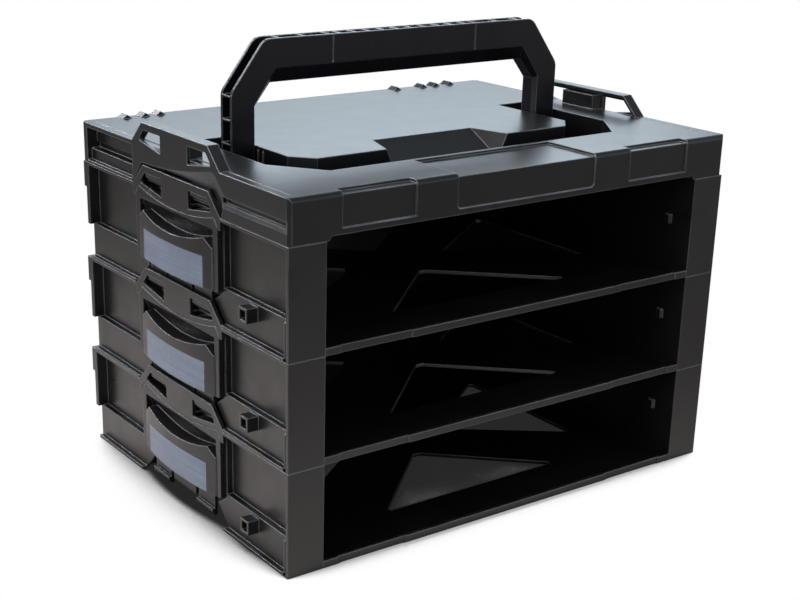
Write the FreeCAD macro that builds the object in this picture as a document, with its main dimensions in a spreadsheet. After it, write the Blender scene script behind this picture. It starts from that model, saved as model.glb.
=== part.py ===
import FreeCAD, Part
import math
import os
import Sketcher

# Tool case drawer rack: three clicked-together open rack modules under a lid with a folding
# carry handle. Millimetres, +Z up, front towards -Y, origin at the centre of the footprint.

doc = FreeCAD.newDocument("DrawerRack")

# Driving sizes
SIZES = {
    # whole stack
    "case_width": 442.0,
    "case_depth": 334.0,
    "module_pitch": 86.7,
    "lid_height": 34.9,
    "bay_width": 377.0,
    "wall": 2.5,
    "flange": 2.5,
    "post_skin": 3.0,
    "fit": 0.3,
    # side wall of a module
    "upper_inset": 10.0,
    "lower_inset": 4.5,
    "ledge_height": 31.0,
    "front_slot": 4.0,
    "front_lip": 2.5,
    "front_lip_corner": 2.5,
    "rear_skin": 3.0,
    "rear_post": 5.0,
    "rear_setback": 6.0,
    "fin_drop": 22.5,
    "fin_width": 8.0,
    "rib": 2.0,
    "front_rib_place": 118.0,
    "rear_rib_place": 114.0,
    "rear_rib_first": 150.0,
    # arch that the next unit clicks on
    "arch_foot": 71.5,
    "arch_head": 53.5,
    "arch_rise": 17.3,
    "arch_plate": 3.0,
    "arch_play": 1.8,
    "arch_root": 9.7,
    "window_inner": 22.0,
    "window_outer": 57.5,
    "window_corner": 51.0,
    "window_top": 11.3,
    "window_inner_sill": -3.4,
    "window_outer_sill": 2.2,
    # opening of a latch in the side wall
    "latch_half": 66.8,
    "latch_play": 0.6,
    "latch_shoulder": 79.0,
    "latch_top": 85.4,
    "latch_top_half": 61.7,
    "latch_sag": 7.5,
    "latch_foot": 27.4,
    "latch_sill": 26.0,
    "sill_half": 52.0,
    "opening_neck": 18.4,
    # latch lever
    "lever_plate": 3.0,
    "lever_skin": 2.4,
    "bulge_half": 60.0,
    "bulge_base": 1.0,
    "bulge_rise": 5.5,
    "bulge_foot": 26.6,
    "lever_flange": 2.0,
    "lip_centre": 60.5,
    "lip_rise": 7.0,
    "lip_half": 50.0,
    "lip_end": 60.3,
    "pocket_depth": 6.5,
    "pocket_top": 76.0,
    "pocket_foot": 61.5,
    "pocket_sag": 1.6,
    "pocket_side": 0.3,
    "hook_inner": 24.0,
    "hook_outer": 50.6,
    "hook_gap": 0.5,
    "hook_thick": 3.0,
    "hook_nose": 2.4,
    "hook_foot": 4.5,
    "tab_half": 19.0,
    "tab_foot": 11.0,
    "pivot_inset": 8.5,
    "pivot_height": 41.0,
    "rod_radius": 2.0,
    "rod_fit": 0.05,
    "rod_short": 0.2,
    "rod_seat": 1.5,
    "barrel_radius": 4.2,
    "barrel_jaw": 3.0,
    "barrel_length": 12.0,
    "housing_wall": 2.2,
    # label insert
    "label_width": 97.6,
    "label_height": 25.0,
    "label_foot": 27.4,
    "label_thick": 1.0,
    "label_proud": 0.2,
    "label_gap": 0.1,
    # leaf spring
    "spring_strip": 0.6,
    "spring_width": 9.0,
    "spring_height": 17.0,
    "spring_half": 40.0,
    "spring_flat": 14.0,
    # peg and catch on the side wall
    "peg_size": 11.5,
    "peg_place": 112.7,
    "peg_foot": 17.5,
    "peg_reach": 10.0,
    "peg_skin": 1.8,
    "catch_place": 141.0,
    "catch_height": 47.0,
    "catch_size": 4.0,
    "catch_tall": 8.0,
    "catch_rise": 2.0,
    # floor of a module
    "floor_thick": 3.0,
    "lip_height": 6.0,
    "lip_depth": 3.0,
    "lip_recess": 1.0,
    "front_hole_base": 119.0,
    "front_hole_tip": 34.0,
    "front_hole_half": 93.0,
    "side_hole_base": 155.0,
    "side_hole_tip": 50.0,
    "side_hole_half": 76.0,
    "hole_corner": 5.0,
    # lid
    "lid_skin": 3.0,
    "lid_round": 4.0,
    "lid_side_wall": 8.5,
    "lid_cheek": 16.0,
    "lid_rail": 5.0,
    "lid_strip": 7.0,
    "lid_strip_inset": 2.0,
    "lid_panel_top": 31.0,
    "cove_sag": 3.0,
    "cove_step": 6.0,
    "cove_drop": 1.4,
    "cove_depth": 3.5,
    "arch_seat": 0.6,
    "arch_rim": 2.4,
    "arch_stile": 3.6,
    "corner_cut": 3.0,
    "fascia_drop": 3.2,
    "trough_side": 177.0,
    "trough_bend": 65.0,
    "trough_corner": 146.0,
    "trough_front": 107.5,
    "trough_rear": 43.0,
    "trough_depth": 27.0,
    "plateau_bend": 48.4,
    "plateau_corner": 130.0,
    "plateau_front": 66.3,
    "scoop_front": 66.0,
    "scoop_rear": 52.0,
    "scoop_start": 31.0,
    "scoop_depth": 18.0,
    "scoop_foot": 58.0,
    "scoop_foot_start": 62.0,
    "scoop_reach": 4.0,
    "band_half": 70.0,
    "band_step": 2.2,
    "place_inner": 109.0,
    "place_outer": 175.0,
    "place_step": 2.5,
    "place_depth": 10.0,
    "place_sink": 1.5,
    "panel_foot": 8.0,
    "panel_step": 1.0,
    "slot_foot": 12.2,
    "slot_height": 5.5,
    "slot_depth": 4.5,
    "lid_rim": 10.0,
    "line_inset": 7.5,
    "block_half": 20.0,
    "block_depth": 15.0,
    "block_rise": 13.0,
    "rear_fin_rise": 3.5,
    "rear_fin_length": 12.0,
    "rear_fin_width": 10.0,
    "groove": 1.2,
    "boss_half": 6.0,
    "stop_height": 10.0,
    # handle
    "handle_half": 171.0,
    "handle_rise": 85.0,
    "handle_bend": 44.2,
    "handle_top_half": 140.0,
    "grip_half": 147.5,
    "grip_bend": 31.0,
    "grip_top": 49.5,
    "grip_top_half": 132.5,
    "grip_bevel": 6.0,
    "grip_bevel_rise": 12.0,
    "handle_front": 5.0,
    "handle_back": 12.0,
    "handle_skin": 2.4,
    "handle_web": 5.0,
    "handle_top_web": 10.0,
    "handle_round": 12.0,
    "handle_rib": 1.5,
    "rib_pitch": 14.5,
    "wide_rib_first": 76.85,
    "wide_rib_pitch": 24.0,
    "leg_rib_first": 11.52,
    "leg_rib_pitch": 19.2,
    "seam_place": 74.675,
    "seam_width": 0.75,
    "handle_hub": 12.0,
    "handle_pivot_drop": 20.5,
    "handle_heel": 5.2,
    "heel_cut": 3.12,
    "tail_cut": 10.56,
    "pin_radius": 3.0,
    "pin_fit": 0.05,
    "pin_seat": 2.5,
}

sheet = doc.addObject("Spreadsheet::Sheet", "Sizes")
for row, (alias, value) in enumerate(SIZES.items(), start=1):
    sheet.set("A%d" % row, alias)
    sheet.set("B%d" % row, repr(value))
    sheet.setAlias("B%d" % row, alias)
doc.recompute()


class Size:
    """A length that knows its value and the formula that gives it from the sheet."""

    def __init__(self, value, text=None):
        self.value = float(value)
        self.text = text if text is not None else repr(float(value))
        self.bound = text is not None

    def _join(self, other, sign, value):
        other = as_size(other)
        joined = Size(value, "(%s %s %s)" % (self.text, sign, other.text))
        joined.bound = self.bound or other.bound
        return joined

    def __add__(self, other):
        return self._join(other, "+", self.value + as_size(other).value)

    def __radd__(self, other):
        return as_size(other) + self

    def __sub__(self, other):
        return self._join(other, "-", self.value - as_size(other).value)

    def __rsub__(self, other):
        return as_size(other) - self

    def __mul__(self, other):
        return self._join(other, "*", self.value * as_size(other).value)

    def __rmul__(self, other):
        return as_size(other) * self

    def __truediv__(self, other):
        return self._join(other, "/", self.value / as_size(other).value)

    def __neg__(self):
        return self * -1


def as_size(value):
    return value if isinstance(value, Size) else Size(value)


class Named:
    """Gives each named cell of the sheet as a Size."""

    def __getattr__(self, alias):
        return Size(getattr(sheet, alias), "Sizes." + alias)


S = Named()


def bind(obj, prop, size):
    """Sets a property and ties it to the sheet where the size comes from there."""
    size = as_size(size)
    if prop.startswith("AttachmentOffset") or prop.startswith("Placement"):
        obj.setExpression(prop, size.text)
        return
    setattr(obj, prop, size.value)
    if size.bound:
        obj.setExpression(prop, size.text)


def body(label):
    new = doc.addObject("PartDesign::Body", label)
    new.Label = label
    return new


def origin_plane(owner, role):
    return [f for f in owner.Origin.OriginFeatures if f.Role == role][0]


def sketch(owner, role, offset, loops):
    """A constrained sketch on an origin plane. A loop is a list of (u, v) points, or of
    (u, v, rise) where the side that starts there is an arc of that rise to its right."""
    sk = owner.newObject("Sketcher::SketchObject", "Sketch")
    sk.AttachmentSupport = [(origin_plane(owner, role), "")]
    sk.MapMode = "FlatFace"
    bind(sk, "AttachmentOffset.Base.z", offset)
    for loop in loops:
        if isinstance(loop, dict):
            circle_loop(sk, **loop)
        else:
            polygon_loop(sk, loop)
    return sk


def tie(sk, items):
    """Adds constraints and ties those with a formula to the sheet."""
    first = len(sk.Constraints)
    sk.addConstraint([c for c, _ in items])
    for k, (_, size) in enumerate(items):
        if size is not None and size.bound:
            sk.setExpression("Constraints[%d]" % (first + k), size.text)


def circle_loop(sk, centre, radius):
    u, v, r = as_size(centre[0]), as_size(centre[1]), as_size(radius)
    g = sk.addGeometry(Part.Circle(FreeCAD.Vector(u.value, v.value, 0), FreeCAD.Vector(0, 0, 1), r.value))
    tie(sk, [
        (Sketcher.Constraint("DistanceX", -1, 1, g, 3, u.value), u),
        (Sketcher.Constraint("DistanceY", -1, 1, g, 3, v.value), v),
        (Sketcher.Constraint("Radius", g, r.value), r),
    ])


def polygon_loop(sk, loop):
    points = [(as_size(p[0]), as_size(p[1])) for p in loop]
    rises = [as_size(p[2]) if len(p) > 2 else None for p in loop]
    n = len(points)
    geometry, starts, ends, radii = [], [], [], []
    for k in range(n):
        (ua, va), (ub, vb) = points[k], points[(k + 1) % n]
        a = FreeCAD.Vector(ua.value, va.value, 0)
        b = FreeCAD.Vector(ub.value, vb.value, 0)
        if rises[k] is None:
            geometry.append(Part.LineSegment(a, b))
            starts.append(1)
            ends.append(2)
            continue
        rise = rises[k].value
        along = (b - a).normalize()
        side = FreeCAD.Vector(along.y, -along.x, 0)
        middle = (a + b) * 0.5 + side * rise
        geometry.append(Part.Arc(a, middle, b))
        starts.append(1 if rise > 0 else 2)
        ends.append(2 if rise > 0 else 1)
        du, dv = ub - ua, vb - va
        size = (du * du + dv * dv) / (8 * rises[k]) + rises[k] / 2
        radii.append((k, size if rise > 0 else -size))
    first = len(sk.Geometry)
    sk.addGeometry(geometry, False)
    items = []
    for k in range(n):
        u, v = points[k]
        g, before = first + k, first + (k - 1) % n
        items.append((Sketcher.Constraint("Coincident", before, ends[(k - 1) % n], g, starts[k]), None))
        items.append((Sketcher.Constraint("DistanceX", -1, 1, g, starts[k], u.value), u))
        items.append((Sketcher.Constraint("DistanceY", -1, 1, g, starts[k], v.value), v))
    for k, size in radii:
        items.append((Sketcher.Constraint("Radius", first + k, size.value), size))
    tie(sk, items)


def add(owner, axis, low, high, *loops):
    """Pads the loops between two places on an axis."""
    low, high = as_size(low), as_size(high)
    role = {"x": "YZ_Plane", "y": "XZ_Plane", "z": "XY_Plane"}[axis]
    sk = sketch(owner, role, -high if axis == "y" else low, loops)
    pad = owner.newObject("PartDesign::Pad", "Pad")
    pad.Profile = sk
    pad.Refine = False
    bind(pad, "Length", high - low)
    sk.Visibility = False
    return pad


def cut(owner, axis, low, high, *loops):
    """Pockets the loops between two places on an axis."""
    low, high = as_size(low), as_size(high)
    role = {"x": "YZ_Plane", "y": "XZ_Plane", "z": "XY_Plane"}[axis]
    sk = sketch(owner, role, -low if axis == "y" else high, loops)
    pocket = owner.newObject("PartDesign::Pocket", "Pocket")
    pocket.Profile = sk
    pocket.Refine = False
    bind(pocket, "Length", high - low)
    sk.Visibility = False
    return pocket


def box(u0, v0, u1, v1):
    return [(u0, v0), (u1, v0), (u1, v1), (u0, v1)]


def outward(side, low, high):
    """Low and high x of a stretch given by its distances from the middle plane."""
    return (as_size(low), as_size(high)) if side > 0 else (-as_size(high), -as_size(low))


def flip(side, loop):
    """The same loop for the right side, or mirrored for the left one."""
    if side > 0:
        return loop
    return [(-as_size(p[0]), p[1]) + tuple(-as_size(rise) for rise in p[2:]) for p in loop]


def both(loop):
    """The loop and its mirror image on the other side."""
    return [loop, flip(-1, loop)]


def fillet(owner, radius, chosen):
    """Rounds the edges of the body that the test picks."""
    doc.recompute()
    tip = owner.Tip
    names = ["Edge%d" % (k + 1) for k, edge in enumerate(tip.Shape.Edges) if chosen(edge)]
    rounded = owner.newObject("PartDesign::Fillet", "Fillet")
    rounded.Base = (tip, names)
    bind(rounded, "Radius", radius)
    return rounded


def bevel(owner, size, chosen):
    """Cuts the edges of the body that the test picks at 45 degrees."""
    doc.recompute()
    tip = owner.Tip
    names = ["Edge%d" % (k + 1) for k, edge in enumerate(tip.Shape.Edges) if chosen(edge)]
    bevelled = owner.newObject("PartDesign::Chamfer", "Chamfer")
    bevelled.Base = (tip, names)
    bind(bevelled, "Size", size)
    return bevelled


def loft(owner, kind, *places):
    """Adds or takes away a loft between sketches given as (role, offset, loop)."""
    sketches = [sketch(owner, role, offset, [loop]) for role, offset, loop in places]
    shape = owner.newObject("PartDesign::" + kind, "Loft")
    shape.Profile = sketches[0]
    shape.Sections = sketches[1:]
    shape.Refine = False
    shape.Ruled = True
    for sk in sketches:
        sk.Visibility = False
    return shape


def along(edge, axis):
    """True for a straight edge that runs along the axis."""
    if not isinstance(edge.Curve, Part.Line):
        return False
    return abs(getattr(edge.tangentAt(edge.FirstParameter), axis)) > 0.999


half_width = S.case_width / 2
half_depth = S.case_depth / 2
bay = S.bay_width / 2
pitch = S.module_pitch
upper_face = half_width - S.upper_inset
lower_face = half_width - S.lower_inset
front_end = -half_depth + S.post_skin + S.front_slot
rear_end = half_depth - S.rear_setback - S.rear_skin
pivot_x = half_width - S.pivot_inset
opening_half = S.latch_half + S.latch_play
housing_end = opening_half + S.housing_wall
arch_back = half_width - S.arch_plate
hook_face = arch_back - S.hook_gap
hook_back = hook_face - S.hook_thick
CLEAR = 1.0
QUARTER = 1 - math.sqrt(0.5)
REAR_RIBS = 6
REAR_RIDGES = (-183.0, -165.0, -150.0, 112.0, 144.0, 160.0, 178.0)
PLATEAU_RIBS = (6.0, -4.0, -12.0)
FINE_RIBS = 5
WIDE_RIBS = 3
LEG_RIBS = 3


def arch_outline(base, root):
    """Front view of an arch that stands on the height base and is rooted below it."""
    head = base + S.arch_rise
    return [(-S.arch_foot, base - root), (S.arch_foot, base - root), (S.arch_foot, base),
            (S.arch_head, head), (-S.arch_head, head), (-S.arch_foot, base)]


def arch_windows(base):
    """The two window outlines of an arch that stands on the height base."""
    window = [(S.window_inner, base + S.window_inner_sill), (S.window_outer, base + S.window_outer_sill),
              (S.window_outer, base + S.window_top - (S.window_outer - S.window_corner)),
              (S.window_corner, base + S.window_top), (S.window_inner, base + S.window_top)]
    return both(window)


def latch_outline(play):
    """Side view of the lever, grown by the play for its opening; the foot is left to the caller."""
    half, top = S.latch_half + play, S.latch_top_half + play
    return [(half, S.latch_foot - play), (half, S.latch_shoulder + play),
            (top, S.latch_top + play, -S.latch_sag), (-top, S.latch_top + play),
            (-half, S.latch_shoulder + play), (-half, S.latch_foot - play)]


def place(piece, level):
    """Merges the faces of a finished piece and sets it on its level."""
    piece.Tip.Refine = True
    piece.setExpression("Placement.Base.z", (pitch * level).text)


def side_wall(label, side, level):
    wall = body(label)
    ledge = S.ledge_height
    roof = pitch - S.flange
    main = [(bay, 0), (bay + S.wall, 0), (bay + S.wall, roof), (upper_face - S.wall, roof),
            (upper_face - S.wall, ledge - S.wall), (lower_face - S.wall, ledge - S.wall),
            (lower_face - S.wall, 0), (half_width, 0), (half_width, S.flange), (lower_face, S.flange),
            (lower_face, ledge), (upper_face, ledge), (upper_face, roof), (half_width, roof),
            (half_width, pitch), (bay, pitch)]
    add(wall, "y", front_end, rear_end, flip(side, main))
    slotted = [(bay, 0), (bay + S.wall, 0), (bay + S.wall, roof), (upper_face - S.wall, roof),
               (upper_face - S.wall, 0), (upper_face, 0), (upper_face, roof), (half_width, roof),
               (half_width, pitch), (bay, pitch)]
    add(wall, "y", -half_depth + S.post_skin, front_end, flip(side, slotted))
    add(wall, "y", -half_depth, -half_depth + S.post_skin, flip(side, box(bay, 0, half_width, pitch)))
    # proud lip at the front end of the lower panel
    proud, turn = lower_face + S.front_lip, S.front_lip_corner
    lip = [(upper_face - S.wall, 0), (proud, 0), (proud, ledge - turn), (proud - turn, ledge),
           (upper_face - S.wall, ledge)]
    add(wall, "y", front_end, front_end + S.rib, flip(side, lip))
    # rear cap, rear post and its fin
    add(wall, "y", rear_end, rear_end + S.rear_skin, flip(side, box(bay, 0, lower_face, ledge)))
    add(wall, "y", rear_end, rear_end + S.rear_post, flip(side, box(bay, ledge, half_width, pitch)))
    add(wall, "y", rear_end + S.rear_post, half_depth,
        flip(side, box(half_width - S.fin_width, pitch - S.fin_drop, half_width, pitch)))
    # cavity ribs and the cheeks of the latch housing
    inner, outer = bay + S.wall / 2, upper_face - S.wall / 2
    plates = [box(inner, -S.front_rib_place - S.rib / 2, outer, -S.front_rib_place + S.rib / 2),
              box(inner, S.rear_rib_place - S.rib / 2, outer, S.rear_rib_place + S.rib / 2),
              box(inner, opening_half, lower_face, housing_end),
              box(inner, -housing_end, lower_face, -opening_half)]
    add(wall, "z", 0, roof + S.flange / 2, *[flip(side, p) for p in plates])
    # arch, latch opening, windows and rod holes
    low, high = outward(side, arch_back, half_width)
    add(wall, "x", low, high, arch_outline(pitch, S.arch_root))
    low, high = outward(side, upper_face - S.wall - CLEAR / 2, half_width + CLEAR)
    neck = S.arch_head + S.arch_play
    foot = S.arch_foot + S.arch_play
    opening = latch_outline(S.latch_play) + [(-neck, S.opening_neck), (-foot, 0), (-foot, -CLEAR),
                                             (foot, -CLEAR), (foot, 0), (neck, S.opening_neck)]
    cut(wall, "x", low, high, opening)
    low, high = outward(side, upper_face + CLEAR, half_width + CLEAR)
    cut(wall, "x", low, high, *arch_windows(pitch))
    bore, seat = S.rod_radius + S.rod_fit, opening_half + S.rod_seat
    cut(wall, "y", -seat, seat, flip(side, box(upper_face - S.wall - CLEAR, S.pivot_height - bore,
                                               pivot_x + bore, S.pivot_height + bore)))
    # hollow locating peg
    low, high = outward(side, lower_face - S.wall / 2, lower_face + S.peg_reach)
    half_peg = S.peg_size / 2
    add(wall, "x", low, high, box(-S.peg_place - half_peg, S.peg_foot, -S.peg_place + half_peg,
                                  S.peg_foot + S.peg_size))
    low, high = outward(side, lower_face, lower_face + S.peg_reach + CLEAR)
    inside = half_peg - S.peg_skin
    cut(wall, "x", low, high, box(-S.peg_place - inside, S.peg_foot + S.peg_skin, -S.peg_place + inside,
                                  S.peg_foot + S.peg_size - S.peg_skin))
    # catch for the drawer on the bay side
    bump = [(inner, -S.catch_place - S.catch_size), (inner, -S.catch_place + S.catch_size),
            (bay, -S.catch_place + S.catch_size), (bay - S.catch_rise, -S.catch_place + S.catch_size / 2),
            (bay - S.catch_rise, -S.catch_place - S.catch_size / 2), (bay, -S.catch_place - S.catch_size)]
    add(wall, "z", S.catch_height - S.catch_tall / 2, S.catch_height + S.catch_tall / 2, flip(side, bump))
    # seat of the leaf spring
    shelf = S.spring_height - S.spring_width / 2
    seat = S.spring_half + S.rib
    low, high = outward(side, inner, bay + S.wall + S.rib * 2)
    add(wall, "x", low, high, [(-seat, shelf - S.rib), (seat, shelf - S.rib), (seat, S.spring_height),
                               (S.spring_half + S.fit, S.spring_height), (S.spring_half + S.fit, shelf),
                               (-S.spring_half - S.fit, shelf), (-S.spring_half - S.fit, S.spring_height),
                               (-seat, S.spring_height)])
    place(wall, level)
    return wall


def bay_floor(label, level):
    floor = body(label)
    add(floor, "z", 0, S.floor_thick, box(-bay, -half_depth, bay, rear_end))
    add(floor, "z", 0, S.lip_height, box(-bay, -half_depth, bay, -half_depth + S.lip_depth))
    base, tip, half = S.front_hole_base, S.front_hole_tip, S.front_hole_half
    front_hole = [(-half, -base), (half, -base), (0, -tip)]
    rear_hole = [(half, base), (-half, base), (0, tip)]
    base, tip, half = S.side_hole_base, S.side_hole_tip, S.side_hole_half
    side_hole = [(base, -half), (base, half), (tip, 0)]
    cut(floor, "z", -CLEAR, S.floor_thick + CLEAR, front_hole, rear_hole, *both(side_hole))
    ahead, aside = half_depth.value - S.lip_depth.value - CLEAR, bay.value - CLEAR
    bevel(floor, S.hole_corner,
          lambda e: along(e, "z") and abs(e.CenterOfMass.y) < ahead and abs(e.CenterOfMass.x) < aside)
    low = -half_depth - CLEAR
    recess = box(S.place_inner, -CLEAR, S.place_outer, S.lip_height + CLEAR)
    cut(floor, "y", low, -half_depth + S.lip_recess, *both(recess))
    place(floor, level)
    return floor


def rear_wall(label, level):
    wall = body(label)
    add(wall, "y", rear_end, rear_end + S.rear_skin, box(-bay, 0, bay, pitch))
    rib = add(wall, "y", rear_end + S.rear_skin, rear_end + S.rear_skin + S.rib,
              box(-S.rear_rib_first - S.rib / 2, S.flange, -S.rear_rib_first + S.rib / 2, pitch - S.flange))
    pattern = wall.newObject("PartDesign::LinearPattern", "RearRibs")
    pattern.Originals = [rib]
    pattern.Direction = (rib.Profile[0], ["H_Axis"])
    bind(pattern, "Length", S.rear_rib_first * 2)
    pattern.Occurrences = REAR_RIBS
    wall.Tip = pattern
    place(wall, level)
    return wall


def bulge_arc(half, shift):
    """Plan of the bulge: half width, place of its ends and rise, moved out by the shift."""
    rise = S.bulge_rise * half * half / (S.bulge_half * S.bulge_half)
    end = half_width + S.bulge_base + S.bulge_rise - rise + shift
    return end, rise


def latch_lever(label, side, level):
    lever = body(label)
    low, high = outward(side, arch_back, half_width)
    outline = latch_outline(0) + [(-S.sill_half, S.latch_sill), (S.sill_half, S.latch_sill)]
    add(lever, "x", low, high, outline)
    # bulging grip
    half = S.bulge_half
    end, rise = bulge_arc(half, 0)
    grip = [(half_width - CLEAR, -half), (end, -half, rise), (end, half), (half_width - CLEAR, half)]
    lip = S.lip_centre + S.lip_rise
    add(lever, "z", S.bulge_foot, lip + CLEAR, flip(side, grip))
    # flanges at both flanks and the shell behind the finger pocket
    low, high = outward(side, pivot_x, arch_back + CLEAR)
    flank = box(S.latch_half - S.lever_flange, S.latch_foot, S.latch_half, S.latch_shoulder)
    add(lever, "x", low, high, *both(flank))
    pocket_back = half_width - S.pocket_depth
    half_pocket = S.bulge_half + S.pocket_side
    low, high = outward(side, pocket_back - S.lever_skin, arch_back + CLEAR)
    add(lever, "x", low, high, box(-half_pocket - S.lever_skin, S.lip_centre - S.lever_skin,
                                   half_pocket + S.lever_skin, S.pocket_top + S.lever_skin / 2))
    # hollow of the grip, open to the back
    half = S.bulge_half - S.lever_skin
    deep = half_width + S.bulge_rise - S.lever_skin
    hollow = [(arch_back - CLEAR, -half), (half_width - CLEAR, -half), (deep, -half / 2), (deep, half / 2),
              (half_width - CLEAR, half), (arch_back - CLEAR, half)]
    cut(lever, "z", S.bulge_foot + S.lever_plate, S.lip_centre - S.lever_skin, flip(side, hollow))
    # finger pocket: curved ledge below and a curved ramp above
    low, high = outward(side, pocket_back, half_width + S.pocket_depth + CLEAR)
    cut(lever, "x", low, high, [(half_pocket, S.lip_end), (half_pocket, S.pocket_top),
                                (-half_pocket, S.pocket_top), (-half_pocket, S.lip_end),
                                (-S.lip_half, lip, S.lip_rise), (S.lip_half, lip)])
    crest = S.pocket_top + CLEAR
    ramp = [(pocket_back - CLEAR, S.pocket_foot), (pocket_back, S.pocket_foot, -S.pocket_sag),
            (half_width, S.pocket_top), (half_width, crest), (pocket_back - CLEAR, crest)]
    add(lever, "y", -half_pocket - CLEAR, half_pocket + CLEAR, flip(side, ramp))
    # label seat
    half = S.label_width / 2 + S.label_gap
    end, rise = bulge_arc(half, S.label_proud - S.label_thick)
    beyond = half_width + S.bulge_base + S.bulge_rise + CLEAR
    seat = [(end, -half, rise), (end, half), (beyond, half), (beyond, -half)]
    cut(lever, "z", S.label_foot - S.label_gap, S.label_foot + S.label_height + S.label_gap,
        flip(side, seat))
    # hooks, centre tab and the web that carries them
    low, high = outward(side, hook_back, arch_back + CLEAR)
    web_top = S.bulge_foot + S.lever_plate
    add(lever, "x", low, high, box(-S.hook_outer, S.latch_sill, S.hook_outer, web_top))
    low, high = outward(side, hook_back, hook_face)
    arm = box(S.hook_inner, S.hook_foot, S.hook_outer, web_top)
    tab = box(-S.tab_half, S.tab_foot, S.tab_half, web_top)
    add(lever, "x", low, high, tab, *both(arm))
    nose_top = S.window_top - S.fit
    reach = hook_face + S.hook_nose
    nose = [(hook_face - CLEAR, S.hook_foot), (hook_face, S.hook_foot), (reach, nose_top - S.hook_thick),
            (reach, nose_top), (hook_face - CLEAR, nose_top)]
    for near, far in ((S.hook_inner, S.hook_outer), (-S.hook_outer, -S.hook_inner)):
        add(lever, "y", near, far, flip(side, nose))
    # jaws that clip over the rod from outside
    jaw, edge = S.barrel_radius, S.latch_half - S.barrel_length
    lug = box(pivot_x - S.barrel_jaw, S.pivot_height - jaw, arch_back + CLEAR, S.pivot_height + jaw)
    for near, far in ((edge, S.latch_half), (-S.latch_half, -edge)):
        add(lever, "y", near, far, flip(side, lug))
    bore = S.rod_radius + S.rod_fit
    cut(lever, "y", -opening_half, opening_half, dict(centre=(pivot_x * side, S.pivot_height), radius=bore))
    mouth = box(pivot_x - S.barrel_jaw - CLEAR, S.pivot_height - bore, pivot_x, S.pivot_height + bore)
    cut(lever, "y", -opening_half, opening_half, flip(side, mouth))
    place(lever, level)
    return lever


def label_insert(label, side, level):
    insert = body(label)
    half = S.label_width / 2
    inner_end, rise = bulge_arc(half, S.label_proud - S.label_thick)
    outer_end, rise = bulge_arc(half, S.label_proud)
    plan = [(inner_end, -half), (outer_end, -half, rise), (outer_end, half), (inner_end, half, -rise)]
    add(insert, "z", S.label_foot, S.label_foot + S.label_height, flip(side, plan))
    place(insert, level)
    return insert


def latch_rod(label, side, level):
    rod = body(label)
    end = opening_half + S.rod_seat - S.rod_short
    add(rod, "y", -end, end, dict(centre=(pivot_x * side, S.pivot_height), radius=S.rod_radius))
    place(rod, level)
    return rod


def leaf_spring(label, side, level):
    spring = body(label)
    foot = bay + S.wall
    peak = hook_back - S.fit
    half, flat, strip = S.spring_half, S.spring_flat, S.spring_strip
    plan = [(foot, -half), (peak, -flat), (peak, flat), (foot, half), (foot, half - strip * 2),
            (peak - strip, flat - strip), (peak - strip, strip - flat), (foot, strip * 2 - half)]
    add(spring, "z", S.spring_height - S.spring_width / 2, S.spring_height + S.spring_width / 2,
        flip(side, plan))
    place(spring, level)
    return spring


def channel_outline(grow):
    """Plan of the U-shaped channel of the handle, widened by the same amount on both flanks."""
    near, corner = S.trough_side + grow, S.trough_corner + grow / 2
    rear = S.trough_rear + grow
    outer = [(near, rear), (near, -S.trough_bend - grow / 2), (corner, -S.trough_front - grow)]
    nook, back = S.plateau_corner - grow / 2, S.trough_corner - grow
    inner = [(nook, -S.plateau_front + grow), (back, -S.plateau_bend + grow / 2), (back, rear)]
    return outer + flip(-1, outer)[::-1] + flip(-1, inner[::-1]) + inner


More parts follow.
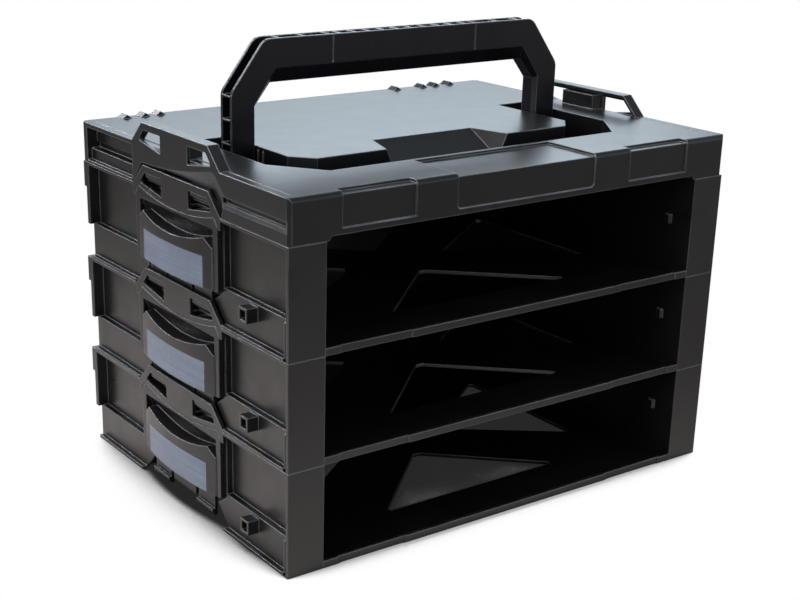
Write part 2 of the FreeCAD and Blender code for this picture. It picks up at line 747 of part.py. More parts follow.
def lid(label):
    cap = body(label)
    top = S.lid_height
    skin = S.lid_skin
    roof = top - skin
    cut_off = S.corner_cut
    corner = [(half_width - cut_off, -half_depth), (half_width, -half_depth + cut_off),
              (half_width, half_depth - cut_off), (half_width - cut_off, half_depth)]
    add(cap, "z", 0, top, corner + flip(-1, corner)[::-1])
    turn = S.lid_round
    wide = half_width + CLEAR
    cut(cap, "x", -wide, wide, [(-half_depth - CLEAR, top - turn),
                                (-half_depth, top - turn, -turn * QUARTER), (-half_depth + turn, top),
                                (-half_depth + turn, top + CLEAR), (-half_depth - CLEAR, top + CLEAR)])
    # hollow underside
    front, rear = -half_depth + skin + CLEAR, half_depth - skin - CLEAR
    flank, narrow, arm = half_width - S.lid_side_wall, half_width - S.lid_cheek, S.trough_bend + S.lid_rim
    hollow = [(flank, front), (flank, -arm), (narrow, -arm), (narrow, rear)]
    cut(cap, "z", -CLEAR, roof, hollow + flip(-1, hollow)[::-1])
    # shells of the handle channel and of the finger scoop, front rail
    base = top - S.trough_depth
    sunk = roof + skin / 2
    add(cap, "z", base - skin, sunk, channel_outline(skin))
    scoop = top - S.scoop_depth
    far = S.plateau_front + S.scoop_reach * 2
    lean = (S.scoop_front - S.scoop_rear) / (far - S.scoop_start)

    def scoop_plan(foot, front, rear):
        """Plan of the scoop; its flanks lean alike at every depth."""
        half = [(foot - lean * (far - ahead), -ahead) for ahead in (front, rear)]
        return half + flip(-1, half)[::-1]

    loft(cap, "AdditiveLoft",
         ("XY_Plane", sunk, scoop_plan(S.scoop_front + skin, S.plateau_front, S.scoop_start - skin)),
         ("XY_Plane", scoop - skin,
          scoop_plan(S.scoop_foot + skin, S.plateau_front + S.scoop_reach, S.scoop_foot_start - skin)))
    rail = half_width - S.lid_cheek + CLEAR
    add(cap, "z", sunk - S.lid_rail, sunk, box(-rail, front - CLEAR, rail,
                                               -half_depth + S.place_depth + skin))
    add(cap, "z", sunk - S.lid_rail, sunk, box(-S.band_half - skin, front, S.band_half + skin,
                                               -S.trough_front - CLEAR))
    cut(cap, "z", base, top + CLEAR, channel_outline(0))
    loft(cap, "SubtractiveLoft", ("XY_Plane", top, scoop_plan(S.scoop_front, far, S.scoop_start)),
         ("XY_Plane", scoop, scoop_plan(S.scoop_foot, far, S.scoop_foot_start)))
    # steps of the front: middle band, places for the drawer latches, set-back panel, lower edge
    ahead = -half_depth - CLEAR
    cut(cap, "z", top - S.band_step, top + CLEAR, box(-S.band_half, ahead, S.band_half,
                                                      -S.trough_front - skin))
    spot = box(S.place_inner, ahead, S.place_outer, -half_depth + S.place_depth)
    cut(cap, "z", top - S.place_step, top + CLEAR, *both(spot))
    face = box(S.place_inner, S.panel_foot, S.place_outer, top + CLEAR)
    cut(cap, "y", ahead, -half_depth + S.place_sink, *both(face))
    rounded = S.lid_rim / 3
    foot = S.panel_foot
    panel = [(S.band_half, foot + rounded), (S.band_half, top + CLEAR), (-S.band_half, top + CLEAR),
             (-S.band_half, foot + rounded, rounded * QUARTER), (-S.band_half + rounded, foot),
             (S.band_half - rounded, foot, rounded * QUARTER)]
    cut(cap, "y", ahead, -half_depth + S.panel_step, panel)
    fascia = S.trough_side + S.lid_strip
    cut(cap, "y", ahead, front + CLEAR, [(-fascia - S.lid_skin, -CLEAR), (fascia + S.lid_skin, -CLEAR),
                                         (fascia, S.fascia_drop), (-fascia, S.fascia_drop)])
    # side faces: slot in the front half, recessed panel and band in the rear half
    strip = S.slot_foot - skin
    slot_top = S.slot_foot + S.slot_height
    slot = [(half_width - S.slot_depth, S.slot_foot), (half_width - S.lid_strip_inset, S.slot_foot),
            (half_width, strip), (wide, strip), (wide, slot_top), (half_width - S.slot_depth, slot_top)]
    cut(cap, "y", -half_depth + skin, -arm, *both(slot))
    panel = [(lower_face, S.flange), (wide, S.flange), (wide, S.lid_panel_top),
             (upper_face, S.lid_panel_top), (upper_face, slot_top), (upper_face - S.wall, slot_top),
             (upper_face - S.wall, S.slot_foot), (lower_face, S.slot_foot)]
    cut(cap, "y", S.arch_foot, rear_end, *both(panel))
    # room for the arch of the top module, the hollow that slopes in above it, fixed snap hooks
    neck, foot = S.arch_head + S.arch_play, S.arch_foot + S.arch_play
    head = S.arch_rise + S.arch_play
    room = [(foot, -CLEAR), (foot, 0), (neck, head), (-neck, head), (-foot, 0), (-foot, -CLEAR)]
    cove = [(neck, head, -S.cove_sag), (-S.arch_head - S.cove_step, top - S.cove_drop),
            (-S.arch_foot + S.cove_step, S.lid_panel_top), (-foot - S.cove_step, slot_top), (-foot, 0)]
    back = [(neck - CLEAR, head - CLEAR, -S.cove_drop), (CLEAR - neck, head), (-neck, head - CLEAR),
            (-neck - S.cove_step, head - S.cove_step), (-foot + CLEAR, 0)]
    nose_top = S.window_top - S.fit
    for side in (-1, 1):
        low, high = outward(side, upper_face - S.wall, wide)
        cut(cap, "x", low, high, room)
        loft(cap, "SubtractiveLoft", ("YZ_Plane", half_width * side, cove),
             ("YZ_Plane", (half_width - S.cove_depth) * side, back))
        low, high = outward(side, hook_back, hook_face)
        hook = box(S.hook_inner, S.hook_foot, S.hook_outer, head + CLEAR)
        add(cap, "x", low, high, *both(hook))
        low, high = outward(side, hook_face - CLEAR, hook_face + S.hook_nose)
        nose = box(S.hook_inner, nose_top - S.hook_thick, S.hook_outer, nose_top)
        add(cap, "x", low, high, *both(nose))
    # arches of the lid
    rim, stile = S.arch_rim, S.arch_stile
    outer = arch_outline(top, skin / 2)
    well = box(half_width - S.lid_rim - S.fit, -S.arch_foot, wide, S.arch_foot)
    cut(cap, "z", top - S.arch_seat, top + CLEAR, *both(well))
    head = top + S.arch_rise
    slant = rim * (S.arch_foot - S.arch_head) / S.arch_rise
    border = [(S.arch_foot, top - skin / 2), (S.arch_foot, top), (S.arch_head, head), (-S.arch_head, head),
              (-S.arch_foot, top), (-S.arch_foot, top - skin / 2), (-S.arch_foot + stile, top - skin / 2),
              (-S.arch_foot + stile, top), (-S.arch_head + stile - slant, head - rim),
              (S.arch_head - stile + slant, head - rim), (S.arch_foot - stile, top),
              (S.arch_foot - stile, top - skin / 2)]
    for side in (-1, 1):
        low, high = outward(side, arch_back, half_width)
        add(cap, "x", low, high, outer)
        low, high = outward(side, half_width - S.lid_rim, arch_back + CLEAR)
        add(cap, "x", low, high, border)
        low, high = outward(side, arch_back - S.hook_gap, wide)
        cut(cap, "x", low, high, *arch_windows(top))
    block = box(half_width - S.block_depth, -S.block_half, arch_back + CLEAR, S.block_half)
    add(cap, "z", roof + CLEAR, top + S.block_rise, *both(block))
    # line along the rim of the top
    line = half_width - S.line_inset
    runs = ((-half_depth + S.lid_rim, -S.arch_foot - skin), (S.arch_foot + skin, half_depth - S.lid_rim))
    lines = [box(line - S.groove / 2, near, line + S.groove / 2, far) for near, far in runs]
    cut(cap, "z", top - S.groove / 2, top + CLEAR, *[flip(side, one) for side in (-1, 1) for one in lines])
    # small ridges at the rear edge
    half = S.rear_fin_width / 2
    ridge = [(-half, roof + CLEAR), (half, roof + CLEAR), (half, top), (0, top + S.rear_fin_rise),
             (-half, top)]
    ridges = [[(u + spot, v) for u, v in ridge] for spot in REAR_RIDGES]
    add(cap, "y", half_depth - S.rear_fin_length, half_depth - S.groove, *ridges)
    # bearings of the handle pins, stops behind the legs, ribs of the plateau wall
    height = top - S.handle_pivot_drop
    for side in (-1, 1):
        low, high = outward(side, S.handle_half + S.fit, S.trough_side + CLEAR)
        add(cap, "x", low, high, box(-S.boss_half, height - S.boss_half, S.boss_half, height + S.boss_half))
    behind = S.handle_back + S.fit
    stop = box(S.grip_half, behind, S.trough_side + CLEAR, behind + S.handle_web)
    add(cap, "z", base - CLEAR, base + S.stop_height, *both(stop))
    ribs = [box(S.trough_corner - CLEAR, y - S.groove / 2, S.trough_corner + CLEAR, y + S.groove / 2)
            for y in PLATEAU_RIBS]
    add(cap, "z", base - CLEAR, roof, *[flip(side, one) for side in (-1, 1) for one in ribs])
    for side in (-1, 1):
        low, high = outward(side, S.handle_half, S.trough_side + skin + CLEAR)
        cut(cap, "x", low, high, dict(centre=(0, height), radius=S.pin_radius + S.pin_fit))
    place(cap, 3)
    return cap


def handle(label):
    grip = body(label)
    low = -S.handle_heel
    out, top = S.handle_half, S.handle_rise + S.handle_pivot_drop
    bend, corner = S.handle_bend + S.handle_pivot_drop, S.handle_top_half
    inside, roof = S.grip_half, S.grip_top + S.handle_pivot_drop
    knee, nook = S.grip_bend + S.handle_pivot_drop, S.grip_top_half
    outer = [(out, low), (out, bend), (corner, top)]
    inner = [(nook, roof), (inside, knee), (inside, low)]
    add(grip, "y", -S.handle_front, S.handle_back,
        outer + flip(-1, outer)[::-1] + flip(-1, inner[::-1]) + inner)
    lowest, aside = bend.value - CLEAR, corner.value - CLEAR
    fillet(grip, S.handle_round,
           lambda e: along(e, "y") and e.CenterOfMass.z > lowest and abs(e.CenterOfMass.x) > aside)
    # open channel round the outer edge, closed around the pivot
    web, crown = inside + S.handle_web, roof + S.handle_top_web
    ease = S.handle_web / 2
    start = S.handle_hub
    void = [(out + CLEAR, start), (out + CLEAR, top + CLEAR)]
    rest = [(nook + ease, crown), (web, knee + ease), (web, start)]
    cut(grip, "y", -S.handle_front + S.handle_skin, S.handle_back - S.handle_skin,
        void + flip(-1, void)[::-1] + flip(-1, rest[::-1]) + rest)
    # cross ribs of the channel
    half = S.handle_rib / 2
    ribs = []
    places = [S.rib_pitch * (k + 0.5) for k in range(FINE_RIBS)]
    places += [S.wide_rib_first + S.wide_rib_pitch * k for k in range(WIDE_RIBS)]
    for x in places:
        ribs.append(box(x - half, crown - CLEAR, x + half, top))
    for k in range(LEG_RIBS):
        z = start + S.leg_rib_first + S.leg_rib_pitch * k
        ribs.append(box(web - CLEAR, z - half, out, z + half))
    ribs += [flip(-1, rib) for rib in ribs]
    for k in range(0, len(ribs), 4):
        add(grip, "y", -S.handle_front + CLEAR, S.handle_back - CLEAR, *ribs[k:k + 4])
    # tapered front edge of the hand opening
    rise, step = S.grip_bevel_rise, S.handle_skin
    mouth = [(inside + step, low - CLEAR), (inside + step, knee + step), (nook - step, roof + rise)]
    bare = [(inside - half, low - CLEAR), (inside - half, knee - half), (nook - half, roof - half)]
    loft(grip, "SubtractiveLoft", ("XZ_Plane", S.handle_front, mouth + flip(-1, mouth)[::-1]),
         ("XZ_Plane", S.handle_front - S.grip_bevel, bare + flip(-1, bare)[::-1]))
    # fine seams on the front face
    seam = box(S.seam_place - S.seam_width / 2, roof + rise + CLEAR,
               S.seam_place + S.seam_width / 2, top + CLEAR)
    cut(grip, "y", -S.handle_front - CLEAR, -S.handle_front + S.groove / 2, *both(seam))
    # heel kept inside the radius that clears the channel floor and the stops
    back, front = S.handle_back, S.handle_front
    chip, nick = S.heel_cut, S.tail_cut
    toe = [(-front - CLEAR, -chip), (-front, -chip), (-chip, low), (-chip, low - CLEAR),
           (-front - CLEAR, low - CLEAR)]
    tail = [(back + CLEAR, 0), (back + CLEAR, low - CLEAR), (nick, low - CLEAR), (nick, low), (back, 0)]
    cut(grip, "x", -out - CLEAR, out + CLEAR, toe, tail)
    cut(grip, "x", -out - CLEAR, out + CLEAR, dict(centre=(0, 0), radius=S.pin_radius + S.pin_fit))
    grip.Tip.Refine = True
    grip.setExpression("Placement.Base.z", pivot_level.text)
    return grip


def handle_pin(label, side):
    pin = body(label)
    low, high = outward(side, S.grip_half + S.fit, S.trough_side + S.pin_seat)
    add(pin, "x", low, high, dict(centre=(0, 0), radius=S.pin_radius))
    pin.setExpression("Placement.Base.z", pivot_level.text)
    return pin


pivot_level = pitch * 3 + S.lid_height - S.handle_pivot_drop

pieces = []
for level, tier in enumerate(("lower", "middle", "upper")):
    pieces.append(bay_floor("floor_" + tier, level))
    pieces.append(rear_wall("rear_wall_" + tier, level))
    for side, name in ((-1, "left"), (1, "right")):
        pieces.append(side_wall("side_%s_%s" % (name, tier), side, level))
        pieces.append(latch_lever("latch_%s_%s" % (name, tier), side, level))
        pieces.append(label_insert("label_%s_%s" % (name, tier), side, level))
        pieces.append(latch_rod("latch_rod_%s_%s" % (name, tier), side, level))
        pieces.append(leaf_spring("latch_spring_%s_%s" % (name, tier), side, level))
pieces.append(lid("lid"))
pieces.append(handle("handle"))
for side, name in ((-1, "left"), (1, "right")):
    pieces.append(handle_pin("handle_pin_" + name, side))
doc.recompute()

faults = [obj.Label for obj in doc.Objects if "Invalid" in obj.State or "Error" in obj.State]
faults += [piece.Label for piece in pieces
           if piece.Shape.isNull() or not piece.Shape.isValid() or len(piece.Shape.Solids) != 1]
if faults:
    raise RuntimeError("not built: " + ", ".join(faults))
os.makedirs("parts", exist_ok=True)
for piece in pieces:
    piece.Shape.exportStep("parts/%s.step" % piece.Label)
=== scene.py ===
import math

import bmesh
import bpy
from mathutils import Matrix, Vector

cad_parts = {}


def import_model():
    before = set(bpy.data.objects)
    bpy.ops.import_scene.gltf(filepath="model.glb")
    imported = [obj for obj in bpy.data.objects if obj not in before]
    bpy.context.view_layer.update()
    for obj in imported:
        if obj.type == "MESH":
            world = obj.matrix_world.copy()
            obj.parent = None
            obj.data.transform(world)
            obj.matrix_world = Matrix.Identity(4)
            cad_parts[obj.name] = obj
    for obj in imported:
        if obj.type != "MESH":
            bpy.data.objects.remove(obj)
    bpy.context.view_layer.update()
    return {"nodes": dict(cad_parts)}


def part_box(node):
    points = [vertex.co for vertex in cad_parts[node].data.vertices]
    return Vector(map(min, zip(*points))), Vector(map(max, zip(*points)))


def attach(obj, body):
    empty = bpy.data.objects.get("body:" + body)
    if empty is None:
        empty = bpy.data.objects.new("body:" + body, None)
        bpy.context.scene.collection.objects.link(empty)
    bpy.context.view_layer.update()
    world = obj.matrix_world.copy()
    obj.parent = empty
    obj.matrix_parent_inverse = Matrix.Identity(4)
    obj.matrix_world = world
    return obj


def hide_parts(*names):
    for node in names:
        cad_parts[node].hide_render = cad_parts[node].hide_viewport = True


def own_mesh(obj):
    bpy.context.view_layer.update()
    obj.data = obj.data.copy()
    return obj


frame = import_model()

# Camera fitted to the photograph, in metres, degrees and pixels. SENSOR is in millimetres
AZIMUTH = 34.427
ELEVATION = 19.310
ROLL = 0.746
DISTANCE = 1.3366362
OFFSET_RIGHT = -0.0562768
OFFSET_UP = 0.0957591
FOCAL_PIXELS = 1439.23
AXIS_PIXEL = (332.51, 338.88)
IMAGE = (800, 600)
SENSOR = 36.0

# Share of a noise texture's range that is stretched over a look
NOISE_LOW = 0.3
NOISE_HIGH = 0.7

# Moulded plastic: noise scales, depth of the grain, width of the rounded edges that carry the painted
# highlight, and the cosines between rounded and true normal at which the rim mask is full and gone
PLASTIC_CLOUD = 9.0
PLASTIC_SMEAR = 38.0
PLASTIC_GRAIN = 1400.0
GRAIN_DEPTH = 0.0002
EDGE_RADIUS = 0.0014
EDGE_SAMPLES = 4
EDGE_FULL = 0.80
EDGE_GONE = 0.985

# Label card: noise scales, stretch of the level streaks and colours
CARD_FIBRE = 260.0
CARD_CLOUD = 22.0
CARD_STREAK = (1.0, 9.0, 420.0)
CARD_DARK = (0.085, 0.106, 0.150)
CARD_PALE = (0.150, 0.183, 0.248)
FIBRE_PALE = (0.24, 0.27, 0.34)

# Steel: noise scale of the tarnish, its darkness, and the stretch and depth of the drawing marks
STEEL_CLOUD = 45.0
STEEL_TARNISH = 0.7
STEEL_MARKS = (600.0, 25.0, 600.0)
MARK_DEPTH = 0.0001

# Leaf springs: share of the half length that is flat at the crest, strip thickness, and stations
# along the bow
CREST = 0.35
STRIP = 0.0006
STATIONS = 49

# Floor: half its width, reach of the contact shade, and the openness that is darkest and lightest
FLOOR_REACH = 30.0
SHADE_REACH = 0.22
SHADE_SAMPLES = 48
SHADE_DARKEST = 0.02
SHADE_FROM = 0.42
SHADE_TO = 0.61

# The floor in reflections: brightest round this place, and dim from FADE_TO away
BRIGHT_PLACE = (-0.25, 0.10, 0.0)
FADE_FROM = 0.15
FADE_TO = 0.85
FADE_LEFT = 0.3
FLOOR_REFLECTED = (1.0, 0.93, 0.90)

# The world in reflections: a cool wall towards this side, dim elsewhere
WALL_SIDE = (0.825, -0.565, 0.0)
WALL_BRIGHT = (0.78, 0.90, 1.0)
WALL_DIM = (0.12, 0.14, 0.16)
SKY_COLOUR = (0.93, 0.96, 1.0, 1.0)
SKY_STRENGTH = 0.55

WHITE = (1.0, 1.0, 1.0)
BLACK = (0.0, 0.0, 0.0)

# Area lamps: name, place, target, size, power in watts and colour
LAMPS = (
    ("back_soft", (1.32, 1.83, 1.3), (0, 0, 0.25), (1.6, 0.8), 14.0, (0.78, 0.90, 1.0)),
    ("left_soft", (-1.9, -0.3, 1.0), (0, 0, 0.2), (1.2, 1.0), 18.0, (1.0, 0.98, 0.97)),
    ("top_soft", (-0.2, 0.5, 2.0), (0, 0, 0.25), (1.4, 1.2), 18.0, (0.95, 0.98, 1.0)),
    ("rear_strip", (-0.6, 1.9, 1.45), (0, 0, 0.25), (1.6, 0.16), 18.0, (0.95, 0.98, 1.0)),
)


def node(tree, kind, **inputs):
    """A shader node with its inputs set by name."""
    made = tree.nodes.new(kind)
    for name, value in inputs.items():
        made.inputs[name.replace("_", " ")].default_value = value
    return made


def noise(tree, coords, scale, detail=4.0):
    """The grey value of a noise texture."""
    made = node(tree, "ShaderNodeTexNoise", Scale=scale, Detail=detail)
    tree.links.new(coords, made.inputs["Vector"])
    return made.outputs["Fac"]


def stretched(tree, coords, scale):
    """Coordinates scaled apart on each axis, for marks that run one way."""
    made = node(tree, "ShaderNodeMapping", Scale=scale)
    tree.links.new(coords, made.inputs["Vector"])
    return made.outputs["Vector"]


def mapped(tree, source, low, high, from_low=NOISE_LOW, from_high=NOISE_HIGH):
    """The source's range from_low to from_high stretched over low to high, and held there."""
    made = node(tree, "ShaderNodeMapRange",
                From_Min=from_low, From_Max=from_high, To_Min=low, To_Max=high)
    tree.links.new(source, made.inputs["Value"])
    return made.outputs["Result"]


def mixed(tree, factor, first, second):
    """A colour between two, by a factor that is a socket."""
    made = tree.nodes.new("ShaderNodeMix")
    made.data_type = "RGBA"
    tree.links.new(factor, made.inputs["Factor"])
    for name, value in (("A", first), ("B", second)):
        socket = [s for s in made.inputs if s.name == name and s.type == "RGBA"][0]
        if isinstance(value, tuple):
            socket.default_value = value + (1.0,)
        else:
            tree.links.new(value, socket)
    return [s for s in made.outputs if s.type == "RGBA"][0]


def combined(tree, operation, first, second):
    """Two values put together, such as multiplied."""
    made = tree.nodes.new("ShaderNodeMath")
    made.operation = operation
    tree.links.new(first, made.inputs[0])
    tree.links.new(second, made.inputs[1])
    return made.outputs["Value"]


def measured(tree, operation, first, second):
    """The value between a vector and a second one, which is a socket or plain numbers."""
    made = tree.nodes.new("ShaderNodeVectorMath")
    made.operation = operation
    tree.links.new(first, made.inputs[0])
    if isinstance(second, tuple):
        made.inputs[1].default_value = second
    else:
        tree.links.new(second, made.inputs[1])
    return made.outputs["Value"]


def height(tree, vector):
    """The Z part of a vector."""
    split = tree.nodes.new("ShaderNodeSeparateXYZ")
    tree.links.new(vector, split.inputs["Vector"])
    return split.outputs["Z"]


def bumped(tree, source, strength, depth, normal=None):
    """The normal with a fine bump, laid over a given normal if there is one."""
    bump = node(tree, "ShaderNodeBump", Strength=strength, Distance=depth)
    tree.links.new(source, bump.inputs["Height"])
    if normal is not None:
        tree.links.new(normal, bump.inputs["Normal"])
    return bump.outputs["Normal"]


def edge_mask(tree):
    """The rounded normal, and a mask: 0 on flat ground and up to 1 on edges."""
    bevel = node(tree, "ShaderNodeBevel", Radius=EDGE_RADIUS)
    bevel.samples = EDGE_SAMPLES
    rounded = bevel.outputs["Normal"]
    true = tree.nodes.new("ShaderNodeNewGeometry").outputs["Normal"]
    cosine = measured(tree, "DOT_PRODUCT", rounded, true)
    return rounded, mapped(tree, cosine, 1.0, 0.0, EDGE_FULL, EDGE_GONE)


def surface(name):
    """A new material, with its node tree, its shader and the object's own coordinates."""
    material = bpy.data.materials.new(name)
    material.use_nodes = True
    tree = material.node_tree
    coords = tree.nodes.new("ShaderNodeTexCoord").outputs["Object"]
    return material, tree, tree.nodes["Principled BSDF"], coords


def connect(tree, shader, colour, roughness, normal):
    """Joins the sockets of a look to its shader."""
    for name, source in (("Base Color", colour), ("Roughness", roughness), ("Normal", normal)):
        tree.links.new(source, shader.inputs[name])


def moulded_plastic(name, dark, pale, roughness, shine,
                    grain=0.25, edge_highlight=(0.80, 0.85, 0.92), uneven=0.06):
    """Black moulded plastic: fine grain, cloudy gloss, and a painted highlight on rounded edges that face
    up, patchy along them.
    """
    material, tree, shader, coords = surface(name)
    cloud = noise(tree, coords, PLASTIC_CLOUD)
    smear = noise(tree, coords, PLASTIC_SMEAR, 6.0)
    fine = noise(tree, coords, PLASTIC_GRAIN, 2.0)
    rounded, rim = edge_mask(tree)
    # Painted highlight: rounded edges made lighter where they face up, broken up by noise
    patchy_highlight = combined(tree, "MULTIPLY", rim, mapped(tree, smear, 0.4, 1.0))
    from_above = mapped(tree, height(tree, rounded), 0.2, 1.0, -0.1, 0.5)
    painted_highlight = combined(tree, "MULTIPLY", patchy_highlight, from_above)
    base = mixed(tree, mapped(tree, cloud, 0.0, 1.0), dark, pale)
    connect(tree, shader, mixed(tree, painted_highlight, base, edge_highlight),
            mapped(tree, smear, roughness - uneven, roughness + uneven),
            bumped(tree, fine, grain, GRAIN_DEPTH, rounded))
    shader.inputs["Specular IOR Level"].default_value = shine
    return material


def label_card(name):
    """Blank blue-grey card under a clear film, with faint level streaks and fibres."""
    material, tree, shader, coords = surface(name)
    fibre = noise(tree, coords, CARD_FIBRE, 5.0)
    cloud = noise(tree, coords, CARD_CLOUD)
    streak = noise(tree, stretched(tree, coords, CARD_STREAK), 1.0, 1.0)
    patch = combined(tree, "MULTIPLY", mapped(tree, cloud, 0.2, 1.0), mapped(tree, streak, 0.3, 1.0))
    tint = mixed(tree, patch, CARD_DARK, CARD_PALE)
    connect(tree, shader, mixed(tree, mapped(tree, fibre, 0.0, 0.15), tint, FIBRE_PALE),
            mapped(tree, cloud, 0.32, 0.45), bumped(tree, fibre, 0.08, GRAIN_DEPTH))
    return material


def steel(name, colour, roughness):
    """Drawn steel with fine marks along its length and slight tarnish."""
    material, tree, shader, coords = surface(name)
    shader.inputs["Metallic"].default_value = 1.0
    marks = noise(tree, stretched(tree, coords, STEEL_MARKS), 1.0, 3.0)
    cloud = noise(tree, coords, STEEL_CLOUD)
    dull = tuple(STEEL_TARNISH * c for c in colour)
    connect(tree, shader, mixed(tree, mapped(tree, cloud, 0.0, 1.0), colour, dull),
            mapped(tree, marks, roughness, roughness + 0.2), bumped(tree, marks, 0.1, MARK_DEPTH))
    return material


# Each plastic's highlight colour is painted on its rounded edges where they face up
FRAME_BLACK = moulded_plastic("frame_black", (0.0045, 0.004, 0.004), (0.009, 0.008, 0.008),
                              0.32, 0.6, edge_highlight=(0.36, 0.39, 0.43))
LEVER_BLACK = moulded_plastic("lever_black", (0.005, 0.0045, 0.005), (0.010, 0.009, 0.0095),
                              0.30, 0.45, edge_highlight=(0.45, 0.48, 0.53))
LID_BLACK = moulded_plastic("lid_black", (0.0045, 0.0045, 0.005), (0.009, 0.009, 0.010),
                            0.30, 0.5, grain=0.12, edge_highlight=(0.62, 0.66, 0.72), uneven=0.015)
HANDLE_BLACK = moulded_plastic("handle_black", (0.0035, 0.0035, 0.0055), (0.007, 0.007, 0.0105),
                               0.28, 0.35, grain=0.12, uneven=0.03)
LABEL = label_card("label_card")
ROD_STEEL = steel("rod_steel", (0.62, 0.62, 0.64), 0.22)
SPRING_STEEL = steel("spring_steel", (0.50, 0.50, 0.53), 0.30)

# How a node's name starts, and its look: the first that fits is taken
LOOKS = (
    ("latch_rod", ROD_STEEL),
    ("latch_spring", SPRING_STEEL),
    ("latch_", LEVER_BLACK),
    ("label", LABEL),
    ("handle_pin", ROD_STEEL),
    ("handle", HANDLE_BLACK),
    ("lid", LID_BLACK),
    ("", FRAME_BLACK),
)


def dress(name, obj):
    """Puts the look that fits its name on a node."""
    material = next(look for start, look in LOOKS if name.startswith(start))
    for spot in obj.material_slots:
        spot.material = material


for name, obj in frame["nodes"].items():
    dress(name, obj)


def leaf_spring(name, side):
    """A smooth bow of spring strip between its feet."""
    node_name = "latch_spring_" + name
    low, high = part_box(node_name)
    half = high[1]
    foot = low[0] if side > 0 else high[0]
    rise = high[0] - low[0] - STRIP
    outer = []
    for k in range(STATIONS):
        y = half * (2 * k / (STATIONS - 1) - 1)
        t = min(1.0, (half - abs(y)) / (half * (1 - CREST)))
        outer.append(Vector((STRIP + rise * t * t * (3 - 2 * t), y)))
    verts = []
    for k, spot in enumerate(outer):
        along = outer[min(k + 1, STATIONS - 1)] - outer[max(k - 1, 0)]
        inner = spot - Vector((along.y, -along.x)).normalized() * STRIP
        for z in (low[2], high[2]):
            verts += [(foot + side * spot.x, spot.y, z), (foot + side * inner.x, inner.y, z)]
    last = 4 * (STATIONS - 1)
    faces = [(0, 1, 3, 2), tuple(last + k for k in (0, 2, 3, 1))]
    for k in range(0, last, 4):
        faces += [(k, k + 4, k + 5, k + 1), (k + 2, k + 3, k + 7, k + 6),
                  (k, k + 2, k + 6, k + 4), (k + 1, k + 5, k + 7, k + 3)]
    mesh = bpy.data.meshes.new("leaf_spring_" + name)
    mesh.from_pydata(verts, [], faces)
    shape = bmesh.new()
    shape.from_mesh(mesh)
    bmesh.ops.recalc_face_normals(shape, faces=shape.faces)
    shape.to_mesh(mesh)
    shape.free()
    mesh.materials.append(SPRING_STEEL)
    piece = bpy.data.objects.new("leaf_spring_" + name, mesh)
    bpy.context.scene.collection.objects.link(piece)
    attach(piece, "base")
    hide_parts(node_name)
    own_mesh(piece)


for tier in ("lower", "middle", "upper"):
    for side, hand in ((-1, "left"), (1, "right")):
        name = hand + "_" + tier
        leaf_spring(name, side)


def seen(tree):
    """1 for the rays of the camera and of reflections."""
    path = tree.nodes.new("ShaderNodeLightPath")
    return combined(tree, "MAXIMUM", path.outputs["Is Camera Ray"], path.outputs["Is Glossy Ray"])


def show(tree, lighting, shown, output):
    """One shader lights the scene, and another is what the camera and reflections see."""
    mix = tree.nodes.new("ShaderNodeMixShader")
    tree.links.new(seen(tree), mix.inputs["Fac"])
    tree.links.new(lighting, mix.inputs[1])
    tree.links.new(shown, mix.inputs[2])
    tree.links.new(mix.outputs["Shader"], tree.nodes[output].inputs["Surface"])


def white_to_camera(tree, colour):
    """White for the camera's own rays, and a colour for all others."""
    path = tree.nodes.new("ShaderNodeLightPath")
    return mixed(tree, path.outputs["Is Camera Ray"], colour, WHITE)


def floor_plane():
    """White floor with the object's contact shade, which fades with distance in reflections."""
    mesh = bpy.data.meshes.new("studio_floor")
    corners = [(x * FLOOR_REACH, y * FLOOR_REACH, 0) for x, y in ((-1, -1), (1, -1), (1, 1), (-1, 1))]
    mesh.from_pydata(corners, [], [(0, 1, 2, 3)])
    floor = bpy.data.objects.new("studio_floor", mesh)
    bpy.context.scene.collection.objects.link(floor)
    material, tree, shader, coords = surface("studio_floor")
    shader.inputs["Base Color"].default_value = (0.8, 0.8, 0.8, 1.0)
    shader.inputs["Roughness"].default_value = 0.9
    shade = node(tree, "ShaderNodeAmbientOcclusion", Distance=SHADE_REACH)
    shade.samples = SHADE_SAMPLES
    open_sky = mapped(tree, shade.outputs["AO"], SHADE_DARKEST, 1.0, SHADE_FROM, SHADE_TO)
    open_sky.node.interpolation_type = "SMOOTHSTEP"
    away = measured(tree, "DISTANCE", coords, BRIGHT_PLACE)
    near = mapped(tree, away, 1.0, FADE_LEFT, FADE_FROM, FADE_TO)
    paper = tree.nodes.new("ShaderNodeEmission")
    tree.links.new(open_sky, paper.inputs["Strength"])
    tree.links.new(white_to_camera(tree, mixed(tree, near, BLACK, FLOOR_REFLECTED)), paper.inputs["Color"])
    show(tree, shader.outputs["BSDF"], paper.outputs["Emission"], "Material Output")
    mesh.materials.append(material)


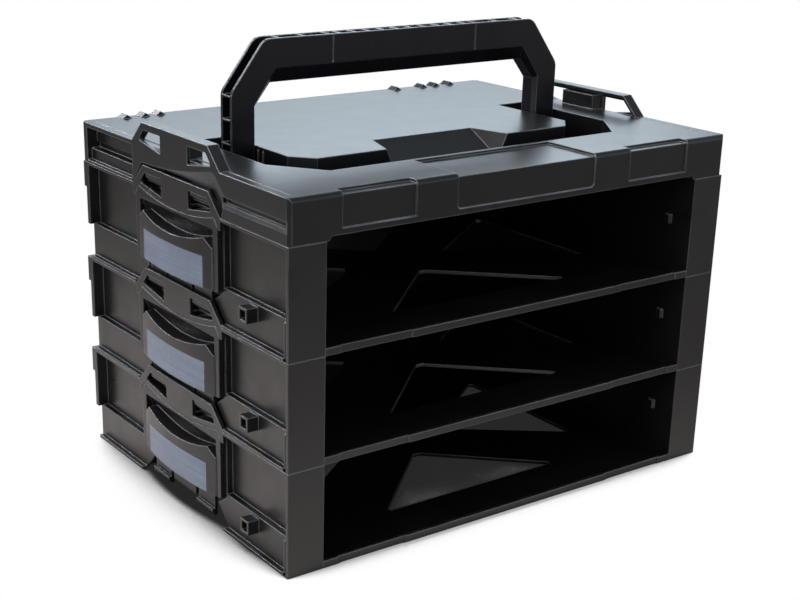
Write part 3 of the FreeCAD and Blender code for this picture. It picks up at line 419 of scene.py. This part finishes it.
def world():
    """White to the camera and soft as a light. In reflections a cool wall on one side, else dim."""
    made = bpy.data.worlds.new("studio")
    bpy.context.scene.world = made
    made.use_nodes = True
    tree = made.node_tree
    direction = tree.nodes.new("ShaderNodeTexCoord").outputs["Generated"]
    towards = mapped(tree, measured(tree, "DOT_PRODUCT", direction, WALL_SIDE), 0.0, 1.0, -0.28, 0.02)
    below = mapped(tree, height(tree, direction), 1.0, 0.2, 0.3, 0.65)
    gloss = mixed(tree, combined(tree, "MULTIPLY", towards, below), WALL_DIM, WALL_BRIGHT)
    background = tree.nodes["Background"]
    background.inputs["Strength"].default_value = 1.0
    tree.links.new(white_to_camera(tree, gloss), background.inputs["Color"])
    light = node(tree, "ShaderNodeBackground", Strength=SKY_STRENGTH, Color=SKY_COLOUR)
    show(tree, light.outputs["Background"], background.outputs["Background"], "World Output")


def camera():
    """The photograph's camera, with its shifted axis and slight roll."""
    a, e, roll = (math.radians(v) for v in (AZIMUTH, ELEVATION, ROLL))
    forward = Vector((math.sin(a) * math.cos(e), math.cos(a) * math.cos(e), -math.sin(e)))
    right = Vector((math.cos(a), -math.sin(a), 0.0))
    up = right.cross(forward)
    place = -forward * DISTANCE + right * OFFSET_RIGHT + up * OFFSET_UP
    across = right * math.cos(roll) + up * math.sin(roll)
    upright = up * math.cos(roll) - right * math.sin(roll)
    lens = bpy.data.cameras.new("photo_camera")
    lens.sensor_width = SENSOR
    lens.lens = FOCAL_PIXELS * SENSOR / IMAGE[0]
    lens.shift_x = (IMAGE[0] / 2 - AXIS_PIXEL[0]) / IMAGE[0]
    lens.shift_y = (AXIS_PIXEL[1] - IMAGE[1] / 2) / IMAGE[0]
    made = bpy.data.objects.new("photo_camera", lens)
    bpy.context.scene.collection.objects.link(made)
    turn = Matrix((across, upright, -forward)).transposed().to_4x4()
    made.matrix_world = Matrix.Translation(place) @ turn
    bpy.context.scene.camera = made


def area_light(name, place, target, size, power, colour):
    """A soft lamp that faces its target and doesn't show in the picture."""
    light = bpy.data.lights.new(name, "AREA")
    light.shape = "RECTANGLE"
    light.size, light.size_y = size
    light.energy = power
    light.color = colour
    lamp = bpy.data.objects.new(name, light)
    lamp.location = place
    lamp.visible_camera = False
    lamp.rotation_euler = (Vector(target) - Vector(place)).to_track_quat("-Z", "Y").to_euler()
    bpy.context.scene.collection.objects.link(lamp)


floor_plane()
world()
camera()
for lamp in LAMPS:
    area_light(*lamp)
bpy.context.scene.view_settings.view_transform = "Standard"
